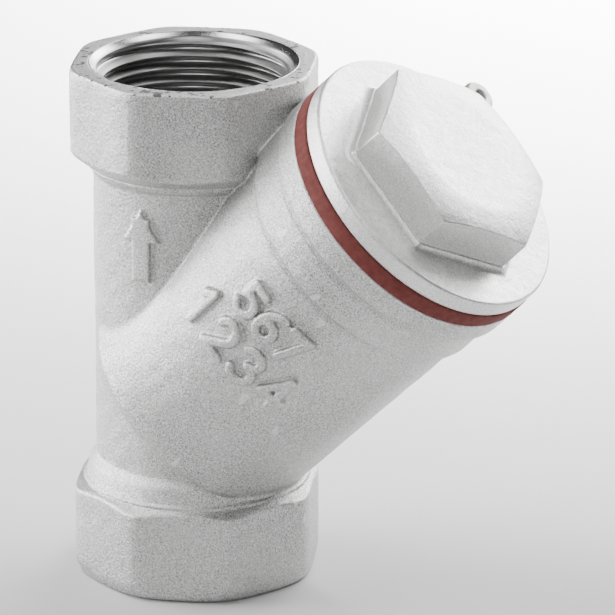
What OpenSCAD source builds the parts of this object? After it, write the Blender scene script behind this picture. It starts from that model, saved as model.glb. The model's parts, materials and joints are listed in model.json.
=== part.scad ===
// Threaded Y-pattern strainer. The run stands along +Z and the branch leaves it towards +X.
// The origin is the centre of the inlet end face. Lengths are in millimetres.

/* [Run] */
// Length of the run from end face to end face
run_length = 70.8; // [68:0.2:100]
// Diameter of the plain flow passage
run_bore = 20; // [14:0.1:24]
// Wall of the run between its two ends
run_wall = 3.55; // [2.5:0.05:6]

/* [Threaded ends] */
// Minor diameter of the pipe thread in both ends
end_thread_d = 24.12; // [20:0.02:32]
// Depth of the pipe thread
end_thread_depth = 12.5; // [9:0.1:16]
// Wall from the thread's minor diameter to a flat of the octagon
end_wall = 3.94; // [2.5:0.02:6]
// How far the octagon's corners are rounded in from their sharp points
end_corner_cut = 0.52; // [0.1:0.02:0.9]
// Height of the inlet octagon up to its bevel
inlet_flat_h = 11.9; // [8:0.1:16]
// Height of the inlet octagon's bevel
inlet_bevel_h = 1; // [0.4:0.1:4]
// How far the inlet's collar is set in from the octagon's corners
inlet_collar_in = 1.7; // [0.5:0.1:2.5]
// Height of the round collar between the inlet's bevel and the run
inlet_collar_h = 3.3; // [2:0.1:6]
// Height of the outlet octagon down to its bevel
outlet_flat_h = 11.4; // [8:0.1:16]
// Height of the outlet octagon's bevel
outlet_bevel_h = 2; // [0.4:0.1:4]
// How far the outlet's collar is set in from the octagon's corners
outlet_collar_in = 2.6; // [0.5:0.1:2.8]
// Height of the round collar between the outlet's bevel and the run
outlet_collar_h = 0.9; // [0.8:0.1:6]

/* [Branch] */
// Angle between the branch and the run
branch_angle = 45; // [40:1:50]
// Gap between the cap's flange and the side of the outlet octagon
cap_gap = 4.16; // [1:0.02:12]
// Wall of the branch around the chamber
branch_wall = 3; // [2:0.1:5]
// Growth of the branch's radius from its foot to its first collar
branch_draft = 0.5; // [0:0.1:1.5]
// Radius of the rounding at the branch's foot
branch_foot_r = 2.5; // [1:0.1:4]
// Length of the mouth collar, where the branch is widest
mouth_collar_h = 4.1; // [2:0.1:8]
// Length of the smaller collar below the mouth collar
lower_collar_h = 5.9; // [3:0.1:9]

/* [Seat] */
// Thickness of the wall under the basket's seat
seat_thickness = 1.5; // [1:0.1:3]
// Depth of the recess that centres the basket on its seat
seat_recess = 1; // [0.5:0.1:2]
// Least metal between the inlet thread and the chamber's floor
seat_web = 1.79; // [1:0.01:4]

/* [Basket] */
// Outside diameter of the basket's end rings
basket_d = 24.6; // [20:0.1:30]
// Space for the flow between the basket and the chamber's wall
flow_gap = 2.2; // [1:0.1:4]
// Thickness of the perforated sheet
screen_sheet = 0.5; // [0.3:0.05:0.8]
// Thickness of the woven liner
liner_sheet = 0.35; // [0.2:0.05:0.6]
// Thickness of the end rings' rim and lip
ring_sheet = 0.45; // [0.3:0.05:0.7]
// Height of the end rings' rim
ring_h = 3; // [2:0.1:5]
// Diameter of the holes in the screen
screen_hole_d = 2.6; // [1.5:0.1:3]
// Number of holes in each row around the screen
screen_holes = 12; // [8:1:14]
// Number of rows of holes
screen_rows = 6; // [4:1:8]

/* [Gasket] */
// Thickness of the gasket
gasket_h = 2.35; // [1:0.05:4]
// Width of the sealing face outside the cap's thread
seal_width = 3.6; // [2:0.1:6]

/* [Cap] */
// Thickness of the cap's flange
flange_h = 2.65; // [2:0.05:5]
// Bevel on the rim of the cap's flange
flange_bevel = 0.4; // [0.2:0.05:1]
// How far the cap's flange stays inside the gasket's edge
flange_inset = 0.1; // [0:0.05:0.5]
// Width of the hexagon across its flats
hex_af = 24.87; // [19:0.01:30]
// Height of the hexagon from the flange to its crown
hex_h = 6.7; // [4:0.1:12]
// Height of the bevel on the hexagon's corners
hex_bevel = 1.2; // [0.5:0.1:2]
// Turn of the hexagon about the branch, in degrees
hex_turn = 55.4; // [0:0.1:60]
// Length of the cap's thread
cap_thread_h = 9; // [6:0.1:14]
// Step from the chamber's wall out to the cap's thread
cap_thread_step = 1.2; // [0.8:0.1:3]
// Distance from the branch's axis to the tip of the seal-wire ear
ear_reach = 25.9; // [22:0.1:34]
// Width of the seal-wire ear
ear_w = 4.6; // [3:0.1:6]
// Thickness of the seal-wire ear
ear_h = 2.2; // [1.2:0.1:2.6]
// Diameter of the wire hole in the ear
ear_hole_d = 1.6; // [0.8:0.1:2]
// Place of the ear around the branch, in degrees
ear_turn = 108; // [0:1:360]

/* [Clearances] */
// Radial clearance of the cap's thread in the branch
thread_clearance = 0.3; // [0.2:0.05:0.5]
// Radial clearance around the basket in its seat and in the cap
basket_clearance = 0.35; // [0.3:0.05:0.6]
// Clearance between the basket and the floor of the cap's recess
basket_end_play = 0.3; // [0.2:0.05:0.8]
// Clearance between the sheets of the basket
sheet_clearance = 0.05; // [0.03:0.01:0.1]
// Radial clearance of the gasket around the cap's thread
gasket_clearance = 0.4; // [0.3:0.05:1]

/* [Hidden] */
$fn = 96;
overlap = 1;
past = 60;
arrow_h = 10.7;
arrow_head_h = 4.2;
arrow_head_w = 5.4;
arrow_shaft_w = 2.7;
arrow_relief = 0.5;
arrow_below_collar = 2.7;

steel = [0.76, 0.76, 0.75];
bright_steel = [0.82, 0.82, 0.83];
gasket_red = [0.45, 0.14, 0.11];

sin_b = sin(branch_angle);
cos_b = cos(branch_angle);

run_r = run_bore / 2 + run_wall;
end_thread_r = end_thread_d / 2;
end_af = end_thread_d + 2 * end_wall;
end_point_r = end_af / 2 / cos(180 / 8);
end_r = end_point_r - end_corner_cut;

basket_r = basket_d / 2;
screen_r = basket_r - ring_sheet - sheet_clearance;
liner_r = screen_r - screen_sheet - sheet_clearance;
ring_bore_r = liner_r - liner_sheet - sheet_clearance - 0.25;
chamber_r = basket_r + flow_gap;
mouth_bore_r = chamber_r + cap_thread_step;
cap_thread_r = mouth_bore_r - thread_clearance;
gasket_bore_r = cap_thread_r + gasket_clearance;
mouth_r = gasket_bore_r + seal_width;
flange_r = mouth_r - flange_inset;
branch_r = chamber_r + branch_wall;
branch_top_r = branch_r + branch_draft;
lower_collar_r = (branch_top_r + mouth_r) / 2;

// Places along the branch, measured from where its axis crosses the run's axis
branch_foot_s = 0.5;
seat_s = seat_thickness;
chamber_s = seat_s + seat_recess;
flange_s = (end_r + cap_gap + flange_r * cos_b) / sin_b;
branch_length = flange_s - gasket_h;
mouth_collar_s = branch_length - mouth_collar_h;
lower_collar_s = mouth_collar_s - lower_collar_h;
thread_end_s = branch_length - cap_thread_h;
basket_top_s = thread_end_s + 2 * ring_h;
basket_length = basket_top_s - seat_s;

// Height at which the branch's axis crosses the run's axis
inlet_corner_s = chamber_s - seat_web;
branch_z = end_thread_depth + (end_thread_r * sin_b - inlet_corner_s) / cos_b;

// Puts its children on the branch: +Z runs out along the branch, from the crossing of the axes
module on_branch(s = 0) {
    translate([0, 0, branch_z]) rotate([0, branch_angle, 0]) translate([0, 0, s]) children();
}

// Keeps the part of its children that is on the cap's side of the seat wall
module beyond(s) {
    intersection() {
        children();
        on_branch(s) translate([-past, -past, 0]) cube([2 * past, 2 * past, past]);
    }
}

// Keeps the part of its children that is on the inlet's side of the seat wall
module short_of(s) {
    intersection() {
        children();
        on_branch(s) translate([-past, -past, -past]) cube([2 * past, 2 * past, past]);
    }
}

// An octagonal end that stands on Z = 0, with its bevel and the round collar that leads in to the run
module octagon_end(flat_h, bevel_h, collar_in, collar_h) {
    collar_r = end_r - collar_in;
    round_r = max(collar_r - run_r, 0);
    top_z = flat_h + bevel_h + collar_h;
    side = [[0, 0], [end_r, 0], [end_r, flat_h], [collar_r, flat_h + bevel_h]];
    rounding = [for (a = [0:22.5:90])
        [collar_r - round_r + round_r * cos(a), top_z - round_r + round_r * sin(a)]];
    intersection() {
        cylinder(r = end_point_r, h = top_z, $fn = 8);
        rotate_extrude() polygon(concat(side, rounding, [[0, top_z]]));
    }
}

// The outside of the branch, with its rounded foot and its two collars
module branch_outside() {
    foot = [for (a = [-90:22.5:0])
        [branch_r - branch_foot_r + branch_foot_r * cos(a), branch_foot_r + branch_foot_r * sin(a)]];
    collars = [
        [branch_top_r, lower_collar_s - branch_foot_s],
        [lower_collar_r, lower_collar_s - branch_foot_s],
        [lower_collar_r, mouth_collar_s - branch_foot_s],
        [mouth_r, mouth_collar_s - branch_foot_s],
        [mouth_r, branch_length - branch_foot_s],
        [0, branch_length - branch_foot_s]
    ];
    on_branch(branch_foot_s) rotate_extrude() polygon(concat([[0, 0]], foot, collars));
}

// The raised arrow that shows the way of the flow
module flow_arrow() {
    tip_z = run_length - outlet_flat_h - outlet_bevel_h - outlet_collar_h - arrow_below_collar;
    head_z = tip_z - arrow_head_h;
    intersection() {
        translate([0, -run_r / 2, 0]) rotate([90, 0, 0]) linear_extrude(run_r) polygon([
            [0, tip_z],
            [-arrow_head_w / 2, head_z],
            [-arrow_shaft_w / 2, head_z],
            [-arrow_shaft_w / 2, tip_z - arrow_h],
            [arrow_shaft_w / 2, tip_z - arrow_h],
            [arrow_shaft_w / 2, head_z],
            [arrow_head_w / 2, head_z]
        ]);
        cylinder(r = run_r + arrow_relief, h = run_length);
    }
}

// Everything the casting is hollow for
module waterway() {
    // Pipe threads
    translate([0, 0, -overlap]) cylinder(r = end_thread_r, h = end_thread_depth + overlap);
    translate([0, 0, run_length - end_thread_depth]) cylinder(r = end_thread_r, h = end_thread_depth + overlap);
    // Flow passage on each side of the seat wall
    short_of(0) translate([0, 0, end_thread_depth - overlap]) cylinder(r = run_bore / 2, h = run_length);
    beyond(chamber_s) cylinder(r = run_bore / 2, h = run_length - end_thread_depth + overlap);
    // Hole under the basket, the recess that centres it, the chamber around it and the cap's thread
    on_branch(-2 * seat_thickness) cylinder(r = ring_bore_r, h = 2 * seat_thickness + seat_s + overlap);
    on_branch(seat_s) cylinder(r = basket_r + basket_clearance, h = seat_recess + overlap);
    on_branch(chamber_s) cylinder(r = chamber_r, h = thread_end_s - chamber_s);
    on_branch(thread_end_s - overlap) cylinder(r = mouth_bore_r, h = cap_thread_h + 2 * overlap);
}

module strainer_body() {
    color(steel) difference() {
        union() {
            cylinder(r = run_r, h = run_length);
            octagon_end(inlet_flat_h, inlet_bevel_h, inlet_collar_in, inlet_collar_h);
            translate([0, 0, run_length]) mirror([0, 0, 1])
                octagon_end(outlet_flat_h, outlet_bevel_h, outlet_collar_in, outlet_collar_h);
            branch_outside();
            flow_arrow();
        }
        waterway();
    }
}

// The seal-wire ear on the rim of the cap's flange
module ear() {
    tip = ear_reach - ear_w / 2;
    difference() {
        rotate([0, 0, ear_turn]) union() {
            translate([flange_r - 2 * overlap, -ear_w / 2, 0]) cube([tip - flange_r + 2 * overlap, ear_w, ear_h]);
            translate([tip, 0, 0]) cylinder(d = ear_w, h = ear_h);
        }
        rotate([0, 0, ear_turn]) translate([tip, 0, -overlap]) cylinder(d = ear_hole_d, h = ear_h + 2 * overlap);
    }
}

// The hexagon, with its corners bevelled to a round crown
module hexagon() {
    point_r = hex_af / 2 / cos(30);
    crown_r = hex_af / 2 - 0.2;
    intersection() {
        rotate([0, 0, hex_turn]) cylinder(r = point_r, h = hex_h, $fn = 6);
        union() {
            cylinder(r = point_r + overlap, h = hex_h - hex_bevel);
            translate([0, 0, hex_h - hex_bevel]) cylinder(r1 = point_r, r2 = crown_r, h = hex_bevel);
        }
    }
}

module cap() {
    flange = [
        [0, 0],
        [flange_r, 0],
        [flange_r, flange_h - flange_bevel],
        [flange_r - flange_bevel, flange_h],
        [0, flange_h]
    ];
    color(steel) difference() {
        union() {
            on_branch(flange_s) rotate_extrude() polygon(flange);
            on_branch(flange_s) ear();
            on_branch(flange_s + flange_h) hexagon();
            on_branch(thread_end_s) cylinder(r = cap_thread_r, h = flange_s - thread_end_s + overlap);
        }
        // Recess that takes the end of the basket
        on_branch(thread_end_s - overlap)
            cylinder(r = basket_r + basket_clearance, h = basket_top_s - thread_end_s + basket_end_play + overlap);
    }
}

module gasket() {
    color(gasket_red) on_branch(branch_length) difference() {
        cylinder(r = mouth_r, h = gasket_h);
        translate([0, 0, -overlap]) cylinder(r = gasket_bore_r, h = gasket_h + 2 * overlap);
    }
}

// A thin tube on the branch, from the outer radius inwards
module sheet_tube(r, sheet) {
    on_branch(seat_s + ring_sheet) difference() {
        cylinder(r = r, h = basket_length - 2 * ring_sheet);
        translate([0, 0, -overlap]) cylinder(r = r - sheet, h = basket_length + 2 * overlap);
    }
}

module screen() {
    row_pitch = (basket_length - 2 * ring_h) / screen_rows;
    color(bright_steel) difference() {
        sheet_tube(screen_r, screen_sheet);
        for (row = [0:screen_rows - 1], hole = [0:screen_holes - 1])
            on_branch(seat_s + ring_h + (row + 0.5) * row_pitch)
                rotate([0, 0, (hole + (row % 2) / 2) * 360 / screen_holes])
                    translate([screen_r - screen_sheet - overlap, 0, 0])
                        rotate([0, 90, 0]) cylinder(d = screen_hole_d, h = screen_sheet + 2 * overlap, $fn = 24);
    }
}

module mesh_liner() {
    color(bright_steel) sheet_tube(liner_r, liner_sheet);
}

// A channel-shaped ring that closes one end of the screen and the liner
module end_ring() {
    rotate_extrude() polygon([
        [ring_bore_r, 0],
        [basket_r, 0],
        [basket_r, ring_h],
        [basket_r - ring_sheet, ring_h],
        [basket_r - ring_sheet, ring_sheet],
        [ring_bore_r, ring_sheet]
    ]);
}

module seat_end_ring() {
    color(bright_steel) on_branch(seat_s) end_ring();
}

module cap_end_ring() {
    color(bright_steel) on_branch(basket_top_s) mirror([0, 0, 1]) end_ring();
}

strainer_body();
cap();
gasket();
screen();
mesh_liner();
seat_end_ring();
cap_end_ring();
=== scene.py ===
import json
import math

import bmesh
import bpy
import numpy as np
import openvdb
from mathutils import Matrix, Vector


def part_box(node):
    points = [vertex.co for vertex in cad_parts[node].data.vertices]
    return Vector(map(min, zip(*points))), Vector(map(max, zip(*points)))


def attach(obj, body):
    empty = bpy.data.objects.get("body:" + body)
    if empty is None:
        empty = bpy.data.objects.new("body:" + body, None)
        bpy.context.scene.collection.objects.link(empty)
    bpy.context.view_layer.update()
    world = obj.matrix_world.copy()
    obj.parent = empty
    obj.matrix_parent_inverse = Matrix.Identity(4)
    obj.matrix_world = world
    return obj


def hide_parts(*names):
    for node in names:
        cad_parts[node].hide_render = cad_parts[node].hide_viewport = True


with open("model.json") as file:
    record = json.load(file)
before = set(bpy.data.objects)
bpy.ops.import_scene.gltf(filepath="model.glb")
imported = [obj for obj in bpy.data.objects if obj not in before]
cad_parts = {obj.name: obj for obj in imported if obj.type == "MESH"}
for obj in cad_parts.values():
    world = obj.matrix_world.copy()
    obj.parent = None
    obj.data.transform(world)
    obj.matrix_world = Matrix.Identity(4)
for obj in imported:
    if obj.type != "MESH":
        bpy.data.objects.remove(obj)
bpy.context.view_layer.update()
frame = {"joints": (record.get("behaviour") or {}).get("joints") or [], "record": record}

# ---------------------------------------------------------------- sizes, in millimetres

MM = 0.001

MOUNTS = {mount["name"]: mount for mount in frame["record"]["mounts"]}
CAP_TURN = next(joint for joint in frame["joints"] if joint["name"] == "cap_turn")
CAP_TRAVEL = next(joint for joint in frame["joints"] if joint["name"] == "cap_travel")

# The branch: its tilt from the run, and the height at which the two axes cross
TILT = math.atan2(CAP_TURN["axis"][0], CAP_TURN["axis"][2])
SIN = math.sin(TILT)
COS = math.cos(TILT)
CROSSING = CAP_TURN["pos_m"][2] / MM
ON_BRANCH = Matrix.Translation((0, 0, CROSSING)) @ Matrix.Rotation(TILT, 4, "Y")


def round_node(node):
    """Where a round CAD node on the branch starts and ends along it, and its radius."""
    low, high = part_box(node)
    size = (high - low) / MM
    middle = (high + low) / 2 / MM
    along = middle.x * SIN + (middle.z - CROSSING) * COS
    radius = size.y / 2
    half = (size.x - 2 * radius * COS) / SIN / 2
    return along - half, along + half, radius


MOUTH_S, FLANGE_S, MOUTH_R = round_node("gasket")
SCREEN_LOW, SCREEN_HIGH, SCREEN_R = round_node("screen")
LINER_LOW, LINER_HIGH, LINER_R = round_node("mesh_liner")
SEAT_S, SEAT_RING_HIGH, BASKET_R = round_node("seat_end_ring")
CAP_RING_LOW, BASKET_TOP_S, _ = round_node("cap_end_ring")
RING_H = SEAT_RING_HIGH - SEAT_S

# The run and its two threaded ends
RUN_LENGTH = MOUNTS["outlet_thread"]["pos_m"][2] / MM
RUN_R = 13.55
RUN_BORE_R = 10.0
END_R = 16.9
END_APOTHEM = 16.0
END_CORNER = 0.8
THREAD_R = MOUNTS["outlet_thread"]["dims"]["r_mm"]
THREAD_DEPTH = MOUNTS["outlet_thread"]["dims"]["length_mm"]
THREAD_PITCH = 25.4 / 14
THREAD_MAJOR = THREAD_R + 1.16
THREAD_MOUTH_R = 13.9
RELIEF_R = 12.95
RELIEF_DEPTH = 1.1
SLEEVE_WALL = 0.4

# Each end: the radius of its flat face, the length of its flats and of the bevel behind them, and
# the radius, length, draft and edge rounding of the collar behind that
INLET = {"face_r": 16.0, "flat": 11.9, "bevel": 1.0, "collar_r": 15.1, "collar": 3.1, "draft": 0.3,
         "collar_round": 0.9}
OUTLET = {"face_r": 17.0, "flat": 11.4, "bevel": 2.0, "collar_r": 14.2, "collar": 0.9, "draft": 0.0,
          "collar_round": 0.6}

# The branch from its foot to its mouth
FOOT_S = 0.5
FOOT_ROUND = 1.5
BRANCH_R = 17.5
BRANCH_DRAFT = 0.5
COLLAR_STEP = 0.7
COLLAR_GROOVE = 0.2
MOUTH_COLLAR_S = MOUTH_S - 4.1
LOWER_COLLAR_S = MOUTH_COLLAR_S - 5.9
BRANCH_FILLET = 0.35

# How far the cast skins wander from their true shape
CASTING_UNEVEN = 0.07
CAP_UNEVEN = 0.04

# Inside the casting and the cap
CHAMBER_R = BASKET_R + 2.2
CHAMBER_S = SEAT_S + 1.0
BASKET_CLEARANCE = 0.35
SEAT_HOLE_R = 10.6
CAP_THREAD_LENGTH = CAP_TRAVEL["range_m"][1] / MM
CAP_THREAD_S = MOUTH_S - CAP_THREAD_LENGTH
CAP_PITCH = CAP_THREAD_LENGTH / (CAP_TURN["range_deg"][1] / 360)
CAP_THREAD_MINOR = 15.1
CAP_THREAD_DEPTH = 0.85
CAP_THREAD_GAP = 0.2

# The cap
FLANGE_R = MOUTH_R - 0.1
FLANGE_H = 2.65
HEX_APOTHEM = 24.87 / 2
HEX_H = 6.7
HEX_SKIRT_H = 0.6
HEX_FILLET = 1.3
HEX_BEVEL = 28.0
HEX_TURN = math.radians(55.4)
EAR_TURN = math.radians(108)
EAR_REACH = 25.9
EAR_W = 4.6
EAR_H = 2.2
EAR_HOLE_R = 0.8

# The raised arrow on the run
ARROW_TIP = 53.8
ARROW_LENGTH = 10.7
ARROW_HEAD = 4.2
ARROW_HEAD_W = 5.4
ARROW_SHAFT_W = 2.7
ARROW_RELIEF = 0.68

# The raised numbers on the branch: digits, where their foot stands on the branch, where the
# row's middle lies around it, their height and their pitch
NUMBER_ROWS = [("1234", 19.6, 1.2, 5.4, 5.1), ("567", 27.0, 1.8, 4.8, 4.1)]
NUMBER_STROKE = 0.64
NUMBER_RELIEF = 0.78

# The basket's screen, its end rings and its woven liner
SCREEN_SHEET = 0.5
SCREEN_HOLE_R = 0.52
SCREEN_HOLES_AROUND = 44
SCREEN_HOLE_ROWS = 26
RING_SHEET = 0.45
WIRE_R = 0.075
WIRE_SIDES = 4
WIRE_SWING = 0.085
UPRIGHT_WIRES = 96
HOOP_WIRES = 58

# The boxes that the casting and the cap are carved in, the steps of their grids, and the most
# triangles they may keep
CASTING_LOW = (-18.0, -20.4, -1.0)
CASTING_HIGH = (48.6, 20.4, RUN_LENGTH + 1.0)
CASTING_STEP = 0.32
CASTING_TRIANGLES = 190000
CAP_LOW = (-FLANGE_R - 6, -FLANGE_R - 1, FLANGE_S - 1)
CAP_HIGH = (FLANGE_R + 1, EAR_REACH + 1, FLANGE_S + FLANGE_H + HEX_H + 1)
CAP_STEP = 0.22
CAP_TRIANGLES = 120000

# How far a cutter reaches past the face it opens, and a distance that is far from everything
PAST = 5
FAR = 99.0

# The camera: its angles in degrees, its distance and target in metres, its lens in millimetres
CAMERA_AZIMUTH = 30.0
CAMERA_ELEVATION = 19.3
CAMERA_DISTANCE = 0.73385
CAMERA_TARGET = (0.01275, 0.00782, 0.0361)
CAMERA_LENS = 320
CAMERA_SENSOR = 36

# Where the soft lights aim, and how far the floor lies below the part, both in metres
LIGHT_TARGET = (0.01, 0, 0.035)
UPPER_TARGET = (-0.02, 0.02, 0.07)
BACK_FLOOR_TARGET = (-0.07, 0.36, 0)
FLOOR_DROP = 0.0002

# ---------------------------------------------------------------- distances, in millimetres

# The last number given to union, overlap or disc is the radius of its fillet or its rounded edge


def union(a, b, radius):
    """Union of two distances, with a round fillet."""
    inner = np.maximum(radius, np.minimum(a, b))
    return inner - np.hypot(np.maximum(radius - a, 0), np.maximum(radius - b, 0))


def overlap(a, b, radius):
    """Intersection of two distances, with a rounded edge."""
    return -union(-a, -b, radius)


def disc(rho, height, radius, low, high, edge):
    """A round disc or bar about the axis that height runs along."""
    return overlap(rho - radius, np.abs(height - (low + high) / 2) - (high - low) / 2, edge)


def prism(x, y, sides, apothem, corner, turn=0.0):
    """A regular prism with rounded corners. One corner lies at the angle turn."""
    half = math.pi / sides
    folded = np.mod(np.arctan2(y, x) - turn, 2 * half) - half
    rho = np.hypot(x, y)
    out = rho * np.cos(folded) - (apothem - corner)
    past = np.abs(rho * np.sin(folded)) - (apothem - corner) * math.tan(half)
    return np.where(past > 0, np.hypot(out, past), out) - corner


def smooth_step(t):
    """A soft step from 0 to 1."""
    t = np.clip(t, 0, 1)
    return t * t * (3 - 2 * t)


def ripple(x, y, z):
    """The slight unevenness that a casting has, from about -1 to 1."""
    slow = np.sin(0.31 * x + 1.3 * np.sin(0.23 * y)) * np.sin(0.27 * z + 1.1 * np.sin(0.29 * x + 2.0))
    fast = np.sin(0.93 * y + 0.71 * z + 1.7 * np.sin(0.61 * x)) * np.sin(0.83 * z - 0.67 * x + 0.9)
    return 0.6 * slow + 0.4 * fast


def in_branch(x, y, z):
    """Place along the branch, distance from its axis, and angle around it from +Y."""
    along = SIN * x + COS * (z - CROSSING)
    across = SIN * (z - CROSSING) - COS * x
    return along, np.hypot(y, across), np.arctan2(across, y)


def threaded_end(x, y, depth, sizes):
    """An octagonal end, with its bevel and collar. depth runs in from the end face."""
    rho = np.hypot(x, y)
    run_in = END_R - sizes["collar_r"]
    bevel = (depth - sizes["flat"]) * run_in + (rho - END_R) * sizes["bevel"]
    bevel = bevel / math.hypot(run_in, sizes["bevel"])
    nut = overlap(prism(x, y, 8, END_APOTHEM, END_CORNER), rho - END_R, 0.5)
    nut = overlap(nut, (rho - sizes["face_r"] - depth) / math.sqrt(2), 1.0)
    nut = overlap(overlap(nut, bevel, 0.3), -depth, 0.3)
    foot = sizes["flat"] + sizes["bevel"]
    leaned = rho + sizes["draft"] * np.maximum(depth - foot, 0)
    collar = disc(leaned, depth, sizes["collar_r"], 2, foot + sizes["collar"], sizes["collar_round"])
    bead = np.hypot(rho - sizes["collar_r"] + 0.1, depth - foot - 0.1) - 0.3
    return union(union(nut, collar, 0.1), bead, 0.12)


def branch_radius(along):
    """The outer radius of the branch: a slight draft and two soft steps."""
    draft = BRANCH_DRAFT * np.clip(along / LOWER_COLLAR_S, 0, 1)
    steps = 0
    for foot in (LOWER_COLLAR_S, MOUTH_COLLAR_S):
        steps = steps + COLLAR_STEP * smooth_step((along - foot) / 1.0)
        steps = steps - COLLAR_GROOVE * np.exp(-((along - foot) / 0.35) ** 2)
    return BRANCH_R + draft + steps


def arrow(x, y, z):
    """The raised arrow on the camera's side of the run."""
    head_z = ARROW_TIP - ARROW_HEAD
    middle = ARROW_TIP - ARROW_LENGTH / 2
    shaft = np.maximum(np.abs(x) - ARROW_SHAFT_W / 2, np.abs(z - middle) - ARROW_LENGTH / 2 + 1)
    lean = math.hypot(ARROW_HEAD, ARROW_HEAD_W / 2)
    sides = (np.abs(x) * ARROW_HEAD - (ARROW_TIP - z) * ARROW_HEAD_W / 2) / lean
    head = np.maximum(sides, head_z - z)
    flat = np.minimum(shaft, head)
    raised = overlap(flat, np.hypot(x, y) - RUN_R - ARROW_RELIEF, 0.3)
    return np.where(y < 0, raised, FAR)


def bow(centre_x, centre_y, radius_x, radius_y, start, end, count=9):
    """Points on a stretch of an ellipse, by angles in degrees."""
    angles = np.radians(np.linspace(start, end, count))
    return [(centre_x + radius_x * math.cos(a), centre_y + radius_y * math.sin(a)) for a in angles]


# Each digit is drawn in a box 0.6 wide and 1 high, as one or more strokes
DIGITS = {
    "1": [[(0.12, 0.78), (0.34, 1.0), (0.34, 0.0)]],
    "2": [bow(0.3, 0.7, 0.28, 0.3, 165, -35) + [(0.02, 0.0), (0.6, 0.0)]],
    "3": [bow(0.27, 0.76, 0.27, 0.24, 150, -80) + bow(0.28, 0.27, 0.3, 0.27, 80, -155)],
    "4": [[(0.62, 0.28), (0.0, 0.28), (0.44, 1.0), (0.44, 0.0)]],
    "5": [[(0.54, 1.0), (0.1, 1.0), (0.06, 0.56)] + bow(0.27, 0.32, 0.31, 0.32, 125, -150)],
    "6": [bow(0.62, 0.42, 0.6, 0.58, 98, 172, 6) + bow(0.3, 0.29, 0.28, 0.29, 180, 540, 13)],
    "7": [[(0.02, 1.0), (0.58, 1.0), (0.2, 0.0)]],
}


def number_strokes():
    """The straight stretches of all the raised numbers, as (arc, along) pairs on the branch."""
    stretches = []
    for digits, foot, middle, height, pitch in NUMBER_ROWS:
        for place, digit in enumerate(digits):
            left = middle + (place - len(digits) / 2) * pitch + (pitch - 0.6 * height) / 2
            for stroke in DIGITS[digit]:
                points = [(left + height * px, foot + height * py) for px, py in stroke]
                stretches += list(zip(points, points[1:]))
    return stretches


def numbers(along, rho, angle):
    """The raised numbers, on the side of the branch that faces -Y."""
    arc = np.mod(angle, 2 * math.pi) * rho - math.pi * rho
    near = np.full(np.shape(rho), FAR)
    for (ax, ay), (bx, by) in number_strokes():
        length = (bx - ax) ** 2 + (by - ay) ** 2
        share = np.clip(((arc - ax) * (bx - ax) + (along - ay) * (by - ay)) / length, 0, 1)
        near = np.minimum(near, np.hypot(arc - ax - share * (bx - ax), along - ay - share * (by - ay)))
    return overlap(near - NUMBER_STROKE, rho - branch_radius(along) - NUMBER_RELIEF, 0.4)


def where_near(mask, values, change):
    """The values, changed only where mask is set. change gets the mask and the values there."""
    changed = values.copy()
    changed[mask] = change(mask, values[mask])
    return changed


def casting_outside(x, y, z):
    """The casting as if it were solid."""
    rho = np.hypot(x, y)
    along, out, angle = in_branch(x, y, z)
    run = disc(rho, z, RUN_R, 1, RUN_LENGTH - 1, 0.1)
    run = union(run, threaded_end(x, y, z, INLET), 0.8)
    run = union(run, threaded_end(x, y, RUN_LENGTH - z, OUTLET), 0.5)
    branch = overlap(out - branch_radius(along), FOOT_S - along, FOOT_ROUND)
    branch = overlap(branch, along - MOUTH_S, 0.25)
    shape = union(run, branch, BRANCH_FILLET)
    uneven = CASTING_UNEVEN * smooth_step(z / 2) * smooth_step((RUN_LENGTH - z) / 2)
    uneven = uneven * smooth_step((MOUTH_S - along) / 2)
    shape = shape + uneven * ripple(x, y, z)

    # The arrow and the numbers are worked out only near where they stand, to save time
    by_arrow = (np.abs(x) < 4) & (y < 2 - RUN_R) & (np.abs(z - ARROW_TIP + 5) < 7)
    shape = where_near(by_arrow, shape, lambda m, old: union(old, arrow(x[m], y[m], z[m]), 0.25))
    by_numbers = (np.abs(along - 25.5) < 8) & (np.abs(out - BRANCH_R) < 2.5) & (y < -0.5 * BRANCH_R)
    return where_near(
        by_numbers, shape, lambda m, old: union(old, numbers(along[m], out[m], angle[m]), 0.28))


def waterway(x, y, z):
    """Everything the casting is hollow for."""
    rho = np.hypot(x, y)
    along, out, _ = in_branch(x, y, z)
    sleeve_r = THREAD_MAJOR + SLEEVE_WALL / 2
    top = RUN_LENGTH - THREAD_DEPTH
    hollow = disc(rho, z, sleeve_r, -PAST, THREAD_DEPTH, 0.1)
    hollow = np.minimum(hollow, disc(rho, z, sleeve_r, top, RUN_LENGTH + PAST, 0.1))
    for low, high in ((-PAST, 1.2), (RUN_LENGTH - 1.2, RUN_LENGTH + PAST)):
        hollow = np.minimum(hollow, disc(rho, z, THREAD_MOUTH_R, low, high, 0.1))
    inlet = overlap(np.maximum(rho - RUN_BORE_R, THREAD_DEPTH - 1 - z), along, 0.2)
    outlet = overlap(np.maximum(rho - RUN_BORE_R, z - top - 1), CHAMBER_S - along, 0.2)
    chamber = disc(out, along, CHAMBER_R, CHAMBER_S, CAP_THREAD_S, 0.3)
    hollow = union(union(hollow, inlet, 0.4), union(outlet, chamber, 0.6), 0.1)
    for radius, low, high in (
        (SEAT_HOLE_R, -3, CHAMBER_S),
        (BASKET_R + BASKET_CLEARANCE, SEAT_S, CHAMBER_S + 1),
        (CAP_THREAD_MINOR + CAP_THREAD_DEPTH + SLEEVE_WALL / 2, CAP_THREAD_S - 1, MOUTH_S + PAST),
    ):
        hollow = np.minimum(hollow, disc(out, along, radius, low, high, 0.1))
    return hollow


def casting(x, y, z):
    """The casting, hollowed out."""
    return overlap(casting_outside(x, y, z), -waterway(x, y, z), 0.15)


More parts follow.
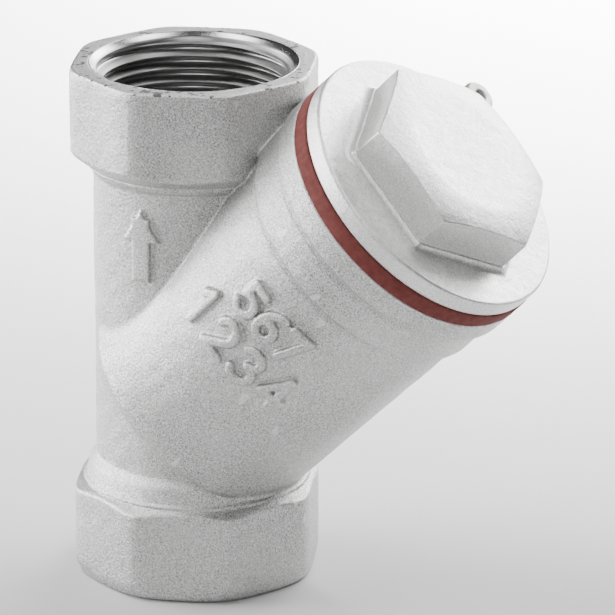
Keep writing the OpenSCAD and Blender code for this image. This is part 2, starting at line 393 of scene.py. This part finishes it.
def cap_head(x, y, z):
    """The cap above its thread, in the branch's own frame: z runs out along the branch."""
    rho = np.hypot(x, y)
    top = FLANGE_S + FLANGE_H
    flange = disc(rho, z, FLANGE_R, FLANGE_S, top, 0.4)
    flats = prism(x, y, 6, HEX_APOTHEM, 0.25, HEX_TURN)
    skirt = np.maximum(flats - 0.1, z - top - HEX_SKIRT_H)
    shape = union(flange, np.maximum(skirt, FLANGE_S + 0.5 - z), HEX_FILLET)
    slope = math.radians(HEX_BEVEL)
    bevel = (z - top - HEX_H) * math.cos(slope) + (rho - HEX_APOTHEM + 0.6) * math.sin(slope)
    crown = overlap(z - top - HEX_H, bevel, 1.5)
    head = overlap(np.maximum(flats, FLANGE_S + 0.5 - z), crown, 0.12)
    shape = union(shape, head, 0.05)
    reach = x * math.cos(EAR_TURN) + y * math.sin(EAR_TURN)
    aside = y * math.cos(EAR_TURN) - x * math.sin(EAR_TURN)
    tip = EAR_REACH - EAR_W / 2
    plate = np.hypot(aside, reach - np.clip(reach, FLANGE_R - 3, tip)) - EAR_W / 2
    ear = overlap(plate, np.abs(z - FLANGE_S - EAR_H / 2) - EAR_H / 2, 0.6)
    shape = union(shape, ear, 0.8)
    shape = overlap(shape, EAR_HOLE_R - np.hypot(aside, reach - tip), 0.25)
    return shape + CAP_UNEVEN * smooth_step((z - FLANGE_S) / 1.5) * ripple(1.3 * x + 5, 1.3 * y, z)


# ---------------------------------------------------------------- from distances and grids to meshes


def gradient(distance, points):
    """The distance at each point and its slope there."""
    reach = 0.02
    slopes = []
    for axis in range(3):
        step = np.zeros(3)
        step[axis] = reach
        ahead = distance(*(points + step).T)
        behind = distance(*(points - step).T)
        slopes.append((ahead - behind) / (2 * reach))
    return distance(*points.T), np.stack(slopes, axis=1)


def settle(distance, points, rounds):
    """Moves points onto the surface where the distance is nothing."""
    for _ in range(rounds):
        value, slope = gradient(distance, points)
        length = np.maximum((slope * slope).sum(axis=1), 0.3)
        points = points - slope * np.clip(value / length, -0.2, 0.2)[:, None]
    return points


def carve(name, distance, low, high, step, most_triangles, place=Matrix.Identity(4)):
    """A closed mesh of a distance's surface, with the distance's own normals."""
    counts = [int(math.ceil((b - a) / step)) + 1 for a, b in zip(low, high)]
    ys = low[1] + step * np.arange(counts[1])
    zs = low[2] + step * np.arange(counts[2])
    field = np.empty(counts, dtype=np.float32)
    for i in range(counts[0]):
        y, z = np.meshgrid(ys, zs, indexing="ij")
        field[i] = distance(np.full(y.shape, low[0] + step * i), y, z)
    grid = openvdb.FloatGrid(step * 3)
    grid.copyFromArray(np.clip(field, -step * 3, step * 3))
    points, triangles, quads = grid.convertToPolygons(isovalue=0.0, adaptivity=0.0)
    points = settle(distance, points * step + np.array(low), 3)
    faces = [tuple(int(i) for i in f) for f in triangles] + [tuple(int(i) for i in f) for f in quads]
    mesh = mesh_of(name, points, faces)
    mesh = thinned(mesh, most_triangles)
    spots = np.empty(len(mesh.vertices) * 3)
    mesh.vertices.foreach_get("co", spots)
    _, slope = gradient(distance, spots.reshape(-1, 3) / MM)
    slope = slope / np.maximum(np.linalg.norm(slope, axis=1), 1e-6)[:, None]
    mesh.normals_split_custom_set_from_vertices(slope.tolist())
    return placed(name, mesh, place)


def mesh_of(name, points, faces):
    """A mesh in metres from points in millimetres, with its faces turned outwards."""
    mesh = bpy.data.meshes.new(name)
    mesh.from_pydata((np.asarray(points) * MM).tolist(), [], faces)
    shape = bmesh.new()
    shape.from_mesh(mesh)
    bmesh.ops.remove_doubles(shape, verts=shape.verts, dist=1e-7)
    bmesh.ops.dissolve_degenerate(shape, edges=shape.edges, dist=1e-8)
    bmesh.ops.recalc_face_normals(shape, faces=shape.faces)
    if shape.calc_volume(signed=True) < 0:
        bmesh.ops.reverse_faces(shape, faces=shape.faces)
    for face in shape.faces:
        face.smooth = True
    shape.to_mesh(mesh)
    shape.free()
    return mesh


def thinned(mesh, most_triangles):
    """The mesh, brought down to that many triangles if it has more."""
    mesh.calc_loop_triangles()
    count = len(mesh.loop_triangles)
    if count <= most_triangles:
        return mesh
    holder = bpy.data.objects.new("thinning", mesh)
    bpy.context.scene.collection.objects.link(holder)
    modifier = holder.modifiers.new("thin", "DECIMATE")
    modifier.ratio = most_triangles / count
    depsgraph = bpy.context.evaluated_depsgraph_get()
    thin = bpy.data.meshes.new_from_object(holder.evaluated_get(depsgraph))
    bpy.data.objects.remove(holder)
    return thin


def placed(name, mesh, place):
    """An object whose place, given in millimetres, is in its mesh."""
    scale = Matrix.Scale(MM, 4)
    mesh.transform(scale @ place @ scale.inverted())
    mesh.name = name
    piece = bpy.data.objects.new(name, mesh)
    bpy.context.scene.collection.objects.link(piece)
    return piece


def crisp(piece, degrees):
    """Smooth shading, with edges sharper than the angle kept hard."""
    with bpy.context.temp_override(object=piece, active_object=piece, selected_objects=[piece]):
        bpy.ops.object.shade_smooth_by_angle(angle=math.radians(degrees))


def ring_of(name, columns, place, degrees):
    """A closed ring through columns of points that go once around, crisp above an angle."""
    rows = len(columns[0])
    faces = []
    for i in range(len(columns) - 1):
        here = i * rows
        ahead = here + rows
        faces += [(here + j, ahead + j, ahead + (j + 1) % rows, here + (j + 1) % rows) for j in range(rows)]
    piece = placed(name, mesh_of(name, np.array(columns).reshape(-1, 3), faces), place)
    crisp(piece, degrees)
    return piece


def turned(name, outline, place, segments, wobble=None):
    """A closed outline of (radius, height) points turned into a ring.

    wobble(angle), if it is given, adds to every radius."""
    columns = []
    for angle in np.linspace(0, 2 * math.pi, segments + 1):
        grow = wobble(angle) if wobble else 0.0
        columns.append([((r + grow) * math.cos(angle), (r + grow) * math.sin(angle), h)
                        for r, h in outline])
    return ring_of(name, columns, place, 35)


def rounded(corners, radius):
    """A closed outline with each corner rounded, in three steps."""
    steps = 3
    outline = []
    count = len(corners)
    for i, corner in enumerate(corners):
        here = np.array(corner, dtype=float)
        before = np.array(corners[i - 1], dtype=float) - here
        after = np.array(corners[(i + 1) % count], dtype=float) - here
        cut = min(radius, np.linalg.norm(before) * 0.45, np.linalg.norm(after) * 0.45)
        start = here + before / np.linalg.norm(before) * cut
        end = here + after / np.linalg.norm(after) * cut
        for t in np.linspace(0, 1, steps + 1):
            outline.append(tuple((1 - t) ** 2 * start + 2 * t * (1 - t) * here + t * t * end))
    return outline


# A thread's profile over one pitch: (share of the pitch, share of the depth)
THREAD_PROFILE = [(0.0, 0.0), (0.07, 0.02), (0.13, 0.14), (0.37, 0.86), (0.43, 0.98), (0.5, 1.0),
                  (0.57, 0.98), (0.63, 0.86), (0.87, 0.14), (0.93, 0.02)]


def thread(name, place, pitch, low, high, radius_at, back_r):
    """A right-hand threaded sleeve or plug from low to high along its axis.

    radius_at(depth share, height) gives the threaded face's radius, and back_r is the plain back."""
    segments = 144
    turns = range(int(low / pitch) - 3, int(high / pitch) + 3)
    columns = []
    for i in range(segments + 1):
        angle = 2 * math.pi * i / segments
        column = [(back_r, low)]
        for turn in turns:
            for share, depth in THREAD_PROFILE:
                height = min(max((turn + share + i / segments) * pitch, low), high)
                column.append((radius_at(depth, height), height))
        column.append((back_r, high))
        columns.append([(r * math.cos(angle), r * math.sin(angle), h) for r, h in column])
    return ring_of(name, columns, place, 32)


# ---------------------------------------------------------------- the pieces


def make_casting():
    return carve("body_casting", casting, CASTING_LOW, CASTING_HIGH, CASTING_STEP, CASTING_TRIANGLES)


def make_cap_head():
    return carve("cap_casting", cap_head, CAP_LOW, CAP_HIGH, CAP_STEP, CAP_TRIANGLES, ON_BRANCH)


def make_end_thread(name, place):
    """The cut thread of one end, with the mouth it runs out in. Height runs in from the face."""
    chamfer_slope = 1.25
    relief_slope = 1.2
    lead_in = 0.4
    runout = 0.6

    def radius_at(depth, height):
        chamfer = THREAD_MOUTH_R - chamfer_slope * height
        relief = RELIEF_R - relief_slope * max(0.0, height - RELIEF_DEPTH)
        cut = min(1.0, max(0.0, (height - RELIEF_DEPTH + lead_in) / runout))
        return max(THREAD_R + (THREAD_MAJOR - THREAD_R) * depth * cut, chamfer, relief)

    return thread(name, place, THREAD_PITCH, 0.02, THREAD_DEPTH, radius_at, THREAD_MOUTH_R + 0.1)


def make_branch_thread():
    """The female thread in the branch's mouth."""

    def radius_at(depth, height):
        chamfer = CAP_THREAD_MINOR + CAP_THREAD_DEPTH - (MOUTH_S - height)
        return max(CAP_THREAD_MINOR + CAP_THREAD_DEPTH * depth, chamfer)

    back = CAP_THREAD_MINOR + CAP_THREAD_DEPTH + SLEEVE_WALL
    return thread("branch_thread", ON_BRANCH, CAP_PITCH, CAP_THREAD_S, MOUTH_S - 0.02, radius_at, back)


def make_cap_thread():
    """The cap's male thread, on a spigot that is hollow for the basket's end."""
    major = CAP_THREAD_MINOR + CAP_THREAD_DEPTH - CAP_THREAD_GAP
    runout_length = 1.2
    lead_length = 1.0

    def radius_at(depth, height):
        runout = max(0.0, 1 - (FLANGE_S - height) / runout_length)
        lead = major - max(0.0, lead_length - (height - CAP_THREAD_S))
        return min(major - CAP_THREAD_DEPTH * (1 - depth) * (1 - runout), lead)

    hollow_r = BASKET_R + BASKET_CLEARANCE
    return thread("cap_thread", ON_BRANCH, CAP_PITCH, CAP_THREAD_S, FLANGE_S + 0.3, radius_at, hollow_r)


def make_cap_plug():
    """The floor of the cap's recess, behind the end of the basket."""
    floor = BASKET_TOP_S + 0.3
    back = FLANGE_S + 0.3
    hollow_r = BASKET_R + BASKET_CLEARANCE
    outer_r = hollow_r + 0.2
    inner_r = 0.001
    chamfer = 0.8
    outline = [(inner_r, floor), (hollow_r - chamfer, floor), (outer_r, floor - chamfer),
               (outer_r, back), (inner_r, back)]
    return turned("cap_recess_floor", outline, ON_BRANCH, 96)


def make_gasket():
    """The flat gasket, its cut edge very slightly uneven."""
    inner = CAP_THREAD_MINOR + CAP_THREAD_DEPTH + 0.05
    corners = [(inner, MOUTH_S), (MOUTH_R, MOUTH_S), (MOUTH_R, FLANGE_S), (inner, FLANGE_S)]

    def wobble(angle):
        slow = 0.03 * math.sin(5 * angle + 1)
        return slow + 0.02 * math.sin(13 * angle) + 0.015 * math.sin(31 * angle + 2)

    return turned("gasket_ring", rounded(corners, 0.25), ON_BRANCH, 240, wobble)


def make_end_ring(name, low, high, facing_up):
    """A channel ring that closes one end of the basket."""
    bore = SEAT_HOLE_R
    wall_r = BASKET_R - RING_SHEET
    outline = [(bore, 0), (BASKET_R, 0), (BASKET_R, RING_H), (wall_r, RING_H),
               (wall_r, RING_SHEET), (bore, RING_SHEET)]
    base = low if facing_up else high
    way = 1 if facing_up else -1
    corners = [(r, base + way * h) for r, h in outline]
    return turned(name, rounded(corners, 0.2), ON_BRANCH, 128)


def make_screen():
    """The rolled sheet with its staggered holes, each eight-sided and cut right through."""
    low = SCREEN_LOW + RING_H
    pitch = (SCREEN_HIGH - SCREEN_LOW - 2 * RING_H) / SCREEN_HOLE_ROWS
    cell = 2 * math.pi / SCREEN_HOLES_AROUND
    half_cells = [k * cell / 2 for k in range(2 * SCREEN_HOLES_AROUND)]
    radii = (SCREEN_R, SCREEN_R - SCREEN_SHEET)
    corners = [(-1, -1), (0, -1), (1, -1), (1, 0), (1, 1), (0, 1), (-1, 1), (-1, 0)]
    turns = [math.atan2(b, a) for a, b in corners]
    points = []
    faces = []

    def strip(first, second):
        """Joins two lists of points, face by face, into a closed band."""
        base = len(points)
        points.extend(first + second)
        count = len(first)
        faces.extend((base + k, base + (k + 1) % count, base + count + (k + 1) % count, base + count + k)
                     for k in range(count))

    def on_sheet(radius, angle, height):
        return (radius * math.cos(angle), radius * math.sin(angle), height)

    def circle(radius, height):
        return [on_sheet(radius, angle, height) for angle in half_cells]

    for row in range(SCREEN_HOLE_ROWS):
        height = low + (row + 0.5) * pitch
        for column in range(SCREEN_HOLES_AROUND):
            middle = (column + (row % 2) / 2) * cell
            rims = []
            for radius in radii:
                edge = [on_sheet(radius, middle + a * cell / 2, height + b * pitch / 2)
                        for a, b in corners]
                rim = [on_sheet(radius, middle + SCREEN_HOLE_R * math.cos(t) / SCREEN_R,
                                height + SCREEN_HOLE_R * math.sin(t)) for t in turns]
                strip(edge, rim)
                rims.append(rim)
            strip(*rims)
    for start, end in ((SCREEN_LOW, low), (low + SCREEN_HOLE_ROWS * pitch, SCREEN_HIGH)):
        for radius in radii:
            strip(circle(radius, start), circle(radius, end))
    for height in (SCREEN_LOW, SCREEN_HIGH):
        strip(*[circle(radius, height) for radius in radii])
    piece = placed("screen_sheet", mesh_of("screen_sheet", points, faces), ON_BRANCH)
    crisp(piece, 40)
    return piece


def make_liner():
    """Woven wire cloth: hoops that run around and uprights that run up, wire by wire."""
    middle_r = LINER_R - 0.18
    low = LINER_LOW + 0.1
    high = LINER_HIGH - 0.1
    pitch = (high - low) / (HOOP_WIRES - 1)
    sides = WIRE_SIDES
    points = []
    faces = []

    def wire(path, is_hoop):
        """A thin wire, square across, along (radius, angle, height) points. Only a hoop closes."""
        base = len(points)
        count = len(path)
        for radius, angle, height in path:
            for side in range(sides):
                turn = 2 * math.pi * side / sides
                out = radius + WIRE_R * math.cos(turn)
                slide = WIRE_R * math.sin(turn)
                around = angle + (0 if is_hoop else slide / radius)
                lift = slide if is_hoop else 0
                points.append((out * math.cos(around), out * math.sin(around), height + lift))
        for k in range(count if is_hoop else count - 1):
            for side in range(sides):
                a = base + k * sides
                b = base + (k + 1) % count * sides
                faces.append((a + side, a + (side + 1) % sides, b + (side + 1) % sides, b + side))
        if not is_hoop:
            faces.append(tuple(base + side for side in range(sides)))
            faces.append(tuple(base + (count - 1) * sides + side for side in range(sides)))

    def wave(step, wire_number):
        """How far a wire swings out at a half step, over one crossing wire and under the next."""
        return WIRE_SWING * math.cos(math.pi * (step / 2 + wire_number))

    for hoop in range(HOOP_WIRES):
        steps = 2 * UPRIGHT_WIRES
        height = low + hoop * pitch
        wire([(middle_r + wave(step, hoop), 2 * math.pi * step / steps, height)
              for step in range(steps)], True)
    for upright in range(UPRIGHT_WIRES):
        steps = 2 * (HOOP_WIRES - 1) + 1
        angle = 2 * math.pi * upright / UPRIGHT_WIRES
        wire([(middle_r - wave(step, upright), angle, low + step * pitch / 2)
              for step in range(steps)], False)
    return placed("liner_cloth", mesh_of("liner_cloth", points, faces), ON_BRANCH)


# ---------------------------------------------------------------- materials


class Surface:
    """A material with a short way to add and join its nodes.

    Values given by name are set on the shader's own sockets, with _ for a space. where is the
    place on the object in millimetres."""

    def __init__(self, name, **values):
        self.material = bpy.data.materials.new(name)
        self.material.use_nodes = True
        self.tree = self.material.node_tree
        self.shader = self.tree.nodes["Principled BSDF"]
        for socket, value in values.items():
            self.shader.inputs[socket.replace("_", " ")].default_value = value
        place = self.add("ShaderNodeTexCoord")
        self.where = self.add("ShaderNodeVectorMath", {0: place.outputs["Object"], "Scale": 1 / MM},
                              operation="SCALE").outputs[0]

    def add(self, kind, inputs=None, **settings):
        """A new node, with its inputs set or linked."""
        node = self.tree.nodes.new(kind)
        for key, value in settings.items():
            setattr(node, key, value)
        for key, value in (inputs or {}).items():
            self.put(node.inputs[key], value)
        return node

    def put(self, socket, value):
        """Links another node's output into a socket, or sets the socket's value."""
        if isinstance(value, bpy.types.NodeSocket):
            self.tree.links.new(value, socket)
        else:
            socket.default_value = value

    def noise(self, per_mm, detail, rough=0.55, where=None):
        inputs = {"Vector": where or self.where, "Scale": per_mm, "Detail": detail, "Roughness": rough}
        return self.add("ShaderNodeTexNoise", inputs).outputs["Fac"]

    def ramp(self, value, stops):
        """A colour or grey ramp from (place, colour) stops."""
        node = self.add("ShaderNodeValToRGB", {"Fac": value})
        band = node.color_ramp.elements
        while len(band) < len(stops):
            band.new(0.5)
        for element, (place, colour) in zip(band, stops):
            element.position = place
            grey = isinstance(colour, (int, float))
            element.color = (colour, colour, colour, 1) if grey else (*colour, 1)
        return node.outputs["Color"]

    def mix(self, share, a, b, blend="MIX"):
        """Two colours mixed. A Mix node's colours are its inputs 6 and 7 and its output 2."""
        node = self.add("ShaderNodeMix", data_type="RGBA", blend_type=blend)
        self.put(node.inputs[0], share)
        self.put(node.inputs[6], a)
        self.put(node.inputs[7], b)
        return node.outputs[2]

    def math(self, operation, a, b=0.0):
        return self.add("ShaderNodeMath", {0: a, 1: b}, operation=operation).outputs[0]

    def round_axis(self, along_branch):
        """Distance from the run's or the branch's axis, and height along it."""
        turn = self.add("ShaderNodeMapping", {"Vector": self.where}, vector_type="TEXTURE")
        if along_branch:
            turn.inputs["Location"].default_value = (0, 0, CROSSING)
            turn.inputs["Rotation"].default_value = (0, TILT, 0)
        split = self.add("ShaderNodeSeparateXYZ", {0: turn.outputs[0]})
        across = self.math("POWER", split.outputs[0], 2.0)
        across = self.math("ADD", across, self.math("POWER", split.outputs[1], 2.0))
        return self.math("SQRT", across), split.outputs[2]

    def bump(self, height, depth_mm, before=None):
        """A normal bumped by a height, on top of an earlier bump if one is given."""
        inputs = {"Height": height, "Distance": depth_mm * MM, "Strength": 1.0}
        if before:
            inputs["Normal"] = before
        return self.add("ShaderNodeBump", inputs).outputs["Normal"]


def cast_metal(name, dark, light, grain_depth, pitted=False, painted_shade_beyond=None):
    """Sand-blasted cast steel: fine grain, faint patches, brighter worn edges, and pits if pitted.

    Farther from the branch's axis than the given radius, if one is given, the colour is halved as painted
    shade, which darkens the cap's ear."""
    look = Surface(name, Metallic=1.0)
    grain = look.noise(2.7, 4.0, 0.7)
    patches = look.noise(0.09, 3.0, 0.5)
    speck = look.ramp(look.noise(5.0, 3.0, 0.7), [(0.33, 0.0), (0.64, 1.0)])
    tone = look.mix(speck, (dark, dark, dark * 0.99, 1), (light, light, light * 0.99, 1))
    clean = (light * 0.95, light * 0.95, light * 0.94, 1)
    tone = look.mix(look.ramp(patches, [(0.35, 0.0), (0.7, 0.3)]), tone, clean)
    pointiness = look.add("ShaderNodeNewGeometry").outputs["Pointiness"]
    worn = look.ramp(pointiness, [(0.53, 0.0), (0.59, 0.5)])
    tone = look.mix(worn, tone, (0.92, 0.92, 0.91, 1))
    lumps = look.bump(look.noise(0.8, 2.0, 0.5), 0.08)
    if pitted:
        pits, depth = end_pits(look)
        tone = look.mix(pits, tone, (0.12, 0.12, 0.12, 1))
        lumps = look.bump(depth, 0.25, lumps)
    # Painted shade: past that radius, on the cap's ear, the colour is halved
    if painted_shade_beyond:
        painted_shade_mask = look.math("GREATER_THAN", look.round_axis(along_branch=True)[0], painted_shade_beyond)
        shaded_tone = look.mix(1.0, tone, (0.5, 0.5, 0.49, 1), "MULTIPLY")
        tone = look.mix(painted_shade_mask, tone, shaded_tone)
    look.put(look.shader.inputs["Base Color"], tone)
    look.put(look.shader.inputs["Roughness"], look.ramp(grain, [(0.25, 0.5), (0.75, 0.34)]))
    look.put(look.shader.inputs["Normal"], look.bump(grain, grain_depth, lumps))
    return look.material


def end_pits(look):
    """Where the cast pits lie that show on the two end faces, and how high the metal stands there."""
    height = look.add("ShaderNodeSeparateXYZ", {0: look.where}).outputs[2]
    from_middle = look.math("ABSOLUTE", look.math("SUBTRACT", height, RUN_LENGTH / 2))
    on_face = look.math("GREATER_THAN", from_middle, RUN_LENGTH / 2 - 0.3)
    shift = look.noise(1.8, 2.0)
    crooked = look.add("ShaderNodeVectorMath", {0: look.where, 1: shift}, operation="ADD").outputs[0]
    cells = look.add("ShaderNodeTexVoronoi", {"Vector": crooked, "Scale": 0.95}).outputs[0]
    areas = look.noise(0.16, 2.0, 0.5)
    size = look.ramp(areas, [(0.42, 0.04), (0.62, 0.42)])
    inside = look.math("LESS_THAN", cells, size)
    pits = look.math("MULTIPLY", inside, on_face)
    return pits, look.math("SUBTRACT", 1.0, pits)


def machined_metal(name, tone, rough, along_branch=False, painted_shade_and_rough_below=None):
    """Cut steel with fine turning lines around its own axis.

    Nearer to that axis than the given radius, if one is given, the colour is darkened as painted shade deep
    in the bore, and the steel is rougher."""
    look = Surface(name, Metallic=1.0)
    radius, height = look.round_axis(along_branch)
    rings = look.add("ShaderNodeCombineXYZ", {0: radius, 2: height}).outputs[0]
    lines = look.noise(3.2, 3.0, 0.65, rings)
    stains = look.noise(0.5, 3.0, 0.6)
    stained = (tone * 0.75, tone * 0.74, tone * 0.72, 1)
    colour = look.mix(look.ramp(stains, [(0.35, 0.0), (0.7, 0.5)]), (tone, tone, tone, 1), stained)
    roughness = look.ramp(lines, [(0.3, rough * 0.8), (0.7, rough * 1.4)])
    # Painted shade: nearer the axis, deep in the bore, the colour falls to 0.42 of its tone; the steel is
    # also rougher there
    if painted_shade_and_rough_below:
        outside = look.math("SUBTRACT", radius, painted_shade_and_rough_below)
        colour = look.mix(1.0, colour, look.ramp(outside, [(0.0, 0.42), (0.5, 1.0)]), "MULTIPLY")
        roughness = look.math("ADD", roughness, look.ramp(outside, [(0.0, 0.2), (0.5, 0.0)]))
    look.put(look.shader.inputs["Base Color"], colour)
    look.put(look.shader.inputs["Roughness"], roughness)
    look.put(look.shader.inputs["Normal"], look.bump(lines, 0.06))
    return look.material


def gasket_sheet(name):
    """Pressed red-brown fibre and rubber sheet, with pale specks where it was cut."""
    look = Surface(name, Specular_IOR_Level=0.25)
    mottle = look.noise(0.9, 4.0, 0.6)
    fine = look.noise(6.0, 3.0, 0.6)
    tone = look.ramp(mottle, [(0.3, (0.12, 0.024, 0.021)), (0.7, (0.175, 0.046, 0.04))])
    specks = look.ramp(fine, [(0.62, 0.0), (0.72, 0.3)])
    look.put(look.shader.inputs["Base Color"], look.mix(specks, tone, (0.3, 0.13, 0.115, 1)))
    look.put(look.shader.inputs["Roughness"], look.ramp(fine, [(0.3, 0.85), (0.7, 0.7)]))
    look.put(look.shader.inputs["Normal"], look.bump(fine, 0.03, look.bump(mottle, 0.06)))
    return look.material


def sheet_metal(name, tone):
    """Thin rolled stainless sheet or wire, with long faint rolling marks."""
    look = Surface(name, Metallic=1.0)
    along = {"Vector": look.where, "Scale": (6.0, 6.0, 0.4)}
    stretched = look.add("ShaderNodeMapping", along).outputs[0]
    marks = look.noise(1.0, 3.0, 0.6, stretched)
    patches = look.noise(0.3, 2.0, 0.5)
    darker = (tone * 0.88, tone * 0.87, tone * 0.84, 1)
    look.put(look.shader.inputs["Base Color"], look.mix(patches, (tone, tone, tone, 1), darker))
    look.put(look.shader.inputs["Roughness"], look.ramp(marks, [(0.3, 0.24), (0.7, 0.4)]))
    look.put(look.shader.inputs["Normal"], look.bump(marks, 0.01))
    return look.material


# ---------------------------------------------------------------- the assembly


def add_piece(piece, body, material, replaced=None):
    """Gives a piece its material and body, and hides the CAD node it stands in for."""
    piece.data.materials.clear()
    piece.data.materials.append(material)
    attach(piece, body)
    if replaced:
        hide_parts(replaced)


def assemble():
    """Makes every piece and puts it on its body."""
    body_metal = cast_metal("cast_steel_body", 0.12, 0.83, 0.13, pitted=True)
    # The cap's ear, past the flange's rim, gets painted shade through its colour
    cap_metal = cast_metal("cast_steel_cap", 0.52, 0.95, 0.08, painted_shade_beyond=FLANGE_R + 0.4)
    # The run's end threads: a base tone lowered to 0.6 as painted shade inside the ends, and more painted
    # shade deeper in their bores
    end_thread_metal_shaded = machined_metal("machined_steel", 0.6, 0.2, painted_shade_and_rough_below=RELIEF_R - 0.1)
    cut_metal_branch = machined_metal("machined_steel_branch", 0.74, 0.24, along_branch=True)
    ring_metal = sheet_metal("ring_steel_sheet", 0.74)
    add_piece(make_casting(), "casting", body_metal, "strainer_body")
    inlet_place = Matrix.Identity(4)
    outlet_place = Matrix.Translation((0, 0, RUN_LENGTH)) @ Matrix.Rotation(math.pi, 4, "X")
    add_piece(make_end_thread("inlet_thread_cut", inlet_place), "casting", end_thread_metal_shaded)
    add_piece(make_end_thread("outlet_thread_cut", outlet_place), "casting", end_thread_metal_shaded)
    add_piece(make_branch_thread(), "casting", cut_metal_branch)
    add_piece(make_cap_head(), "cover", cap_metal, "cap")
    add_piece(make_cap_thread(), "cover", cut_metal_branch)
    add_piece(make_cap_plug(), "cover", cap_metal)
    add_piece(make_gasket(), "seal", gasket_sheet("gasket_sheet"), "gasket")
    add_piece(make_screen(), "basket", sheet_metal("screen_sheet_steel", 0.72), "screen")
    add_piece(make_liner(), "basket", sheet_metal("liner_wire_steel", 0.66), "mesh_liner")
    seat_ring = make_end_ring("seat_ring", SEAT_S, SEAT_RING_HIGH, True)
    add_piece(seat_ring, "basket", ring_metal, "seat_end_ring")
    cap_ring = make_end_ring("cap_ring", CAP_RING_LOW, BASKET_TOP_S, False)
    add_piece(cap_ring, "basket", ring_metal, "cap_end_ring")


# ---------------------------------------------------------------- the stage


def look_from(azimuth, elevation, distance, target):
    """A place seen from that side, and the turn that faces the target from it."""
    a = math.radians(azimuth)
    e = math.radians(elevation)
    back = Vector((math.sin(a) * math.cos(e), -math.cos(a) * math.cos(e), math.sin(e)))
    return Vector(target) + back * distance, back.to_track_quat("Z", "Y")


def add_camera():
    """A long-lens camera at the photograph's viewing angle."""
    data = bpy.data.cameras.new("camera")
    data.lens = CAMERA_LENS
    data.sensor_width = CAMERA_SENSOR
    data.clip_end = 20
    camera = bpy.data.objects.new("camera", data)
    bpy.context.scene.collection.objects.link(camera)
    camera.rotation_mode = "QUATERNION"
    place, turn = look_from(CAMERA_AZIMUTH, CAMERA_ELEVATION, CAMERA_DISTANCE, CAMERA_TARGET)
    camera.location = place
    camera.rotation_quaternion = turn
    bpy.context.scene.camera = camera


def add_softbox(name, azimuth, elevation, distance, size, brightness, target=LIGHT_TARGET, spread=180):
    """A soft light whose brightness is that of its own face. Angles in degrees, lengths in metres."""
    data = bpy.data.lights.new(name, "AREA")
    data.shape = "RECTANGLE"
    data.size, data.size_y = size
    data.energy = brightness * math.pi * size[0] * size[1]
    data.spread = math.radians(spread)
    light = bpy.data.objects.new(name, data)
    bpy.context.scene.collection.objects.link(light)
    light.rotation_mode = "QUATERNION"
    place, turn = look_from(azimuth, elevation, distance, target)
    light.location = place
    light.rotation_quaternion = turn


def add_floor():
    """The plain pale floor."""
    bpy.ops.mesh.primitive_plane_add(size=6, location=(0, 0, -FLOOR_DROP))
    floor = bpy.context.object
    floor.name = "floor"
    look = Surface("pale_floor", Roughness=0.9)
    tone = look.ramp(look.noise(0.02, 2.0), [(0.3, 0.63), (0.7, 0.66)])
    look.put(look.shader.inputs["Base Color"], tone)
    floor.data.materials.append(look.material)


def light_stage():
    """A faint even light from all around, and the soft lights."""
    world = bpy.data.worlds.new("studio")
    world.use_nodes = True
    world.node_tree.nodes["Background"].inputs["Color"].default_value = (1, 1, 1, 1)
    world.node_tree.nodes["Background"].inputs["Strength"].default_value = 0.03
    bpy.context.scene.world = world
    add_softbox("behind", 175, 26, 0.55, (0.6, 0.28), 8)
    add_softbox("behind_core", 172, 22, 0.55, (0.3, 0.2), 6.5)
    add_softbox("left", -70, 10, 0.55, (0.55, 0.4), 8.5)
    add_softbox("left_edge", -95, 8, 0.5, (0.25, 0.3), 6)
    add_softbox("front_fill", 30, 35, 0.7, (0.4, 0.4), 3.8)
    add_softbox("overhead_left", -60, 62, 0.6, (0.3, 0.3), 0.8, UPPER_TARGET, spread=44)
    add_softbox("overhead_right", 125, 62, 0.6, (0.3, 0.3), 0.6, UPPER_TARGET, spread=44)
    add_softbox("back_floor", 172, 76, 0.8, (0.25, 0.25), 36, BACK_FLOOR_TARGET, spread=34)


add_camera()
light_stage()
add_floor()
assemble()
